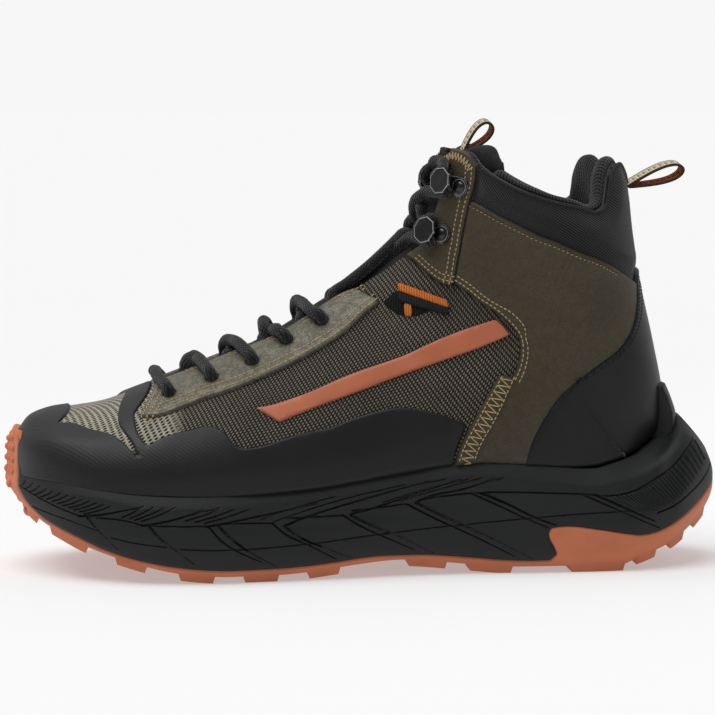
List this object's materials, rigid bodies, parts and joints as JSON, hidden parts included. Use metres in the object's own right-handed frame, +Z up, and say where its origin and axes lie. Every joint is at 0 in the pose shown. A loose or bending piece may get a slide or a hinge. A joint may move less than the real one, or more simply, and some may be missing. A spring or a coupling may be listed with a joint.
{
  "type": "mid-height lace-up hiking boot",
  "caption": "Left mid-height lace-up hiking boot with a thick lugged sole, padded collar, tongue and pull loops, standing empty on its sole.",
  "frame": {"origin": "on the floor, in the middle of the flat tread under the heel", "axes": "+X runs along the foot to the toe, +Y to the outer side of the left foot, +Z up the shaft"},
  "size_m": [0.3085, 0.1132, 0.1989],
  "materials": {
    "rubber": "matt moulded rust-coloured rubber",
    "foam": "matt black moulded foam with fine grooves",
    "lining": "black knitted textile over soft padding",
    "mesh": "charcoal woven mesh with beige flecks",
    "film": "matt black bonded film with fine ribbing at the toe",
    "olive_leather": "smooth olive-brown synthetic leather, fine grain",
    "black_leather": "smooth black synthetic leather",
    "trim": "flat rust-coloured bonded strip",
    "tape": "ribbed woven tape in orange, cream and black",
    "lace": "round braided charcoal lace",
    "hook_metal": "black painted metal, bright worn edges"
  },
  "bodies": {
    "root": {"outsole": "rubber", "midsole": "foam", "insole": "lining", "upper": "mesh", "tongue": "mesh", "collar_pad": "lining", "toe_wrap": "film", "eyestay": "olive_leather", "heel_counter": "black_leather", "quarter_outer": "olive_leather", "hook_panel_outer": "olive_leather", "seam_strip_outer": "olive_leather", "trim_band_outer": "trim", "webbing_outer": "tape", "lower_hook_outer": "hook_metal", "upper_hook_outer": "hook_metal", "quarter_inner": "olive_leather", "hook_panel_inner": "olive_leather", "seam_strip_inner": "olive_leather", "trim_band_inner": "trim", "webbing_inner": "tape", "lower_hook_inner": "hook_metal", "upper_hook_inner": "hook_metal", "lace": "lace", "heel_loop": "tape", "tongue_loop": "tape"}
  },
  "joints": []
}
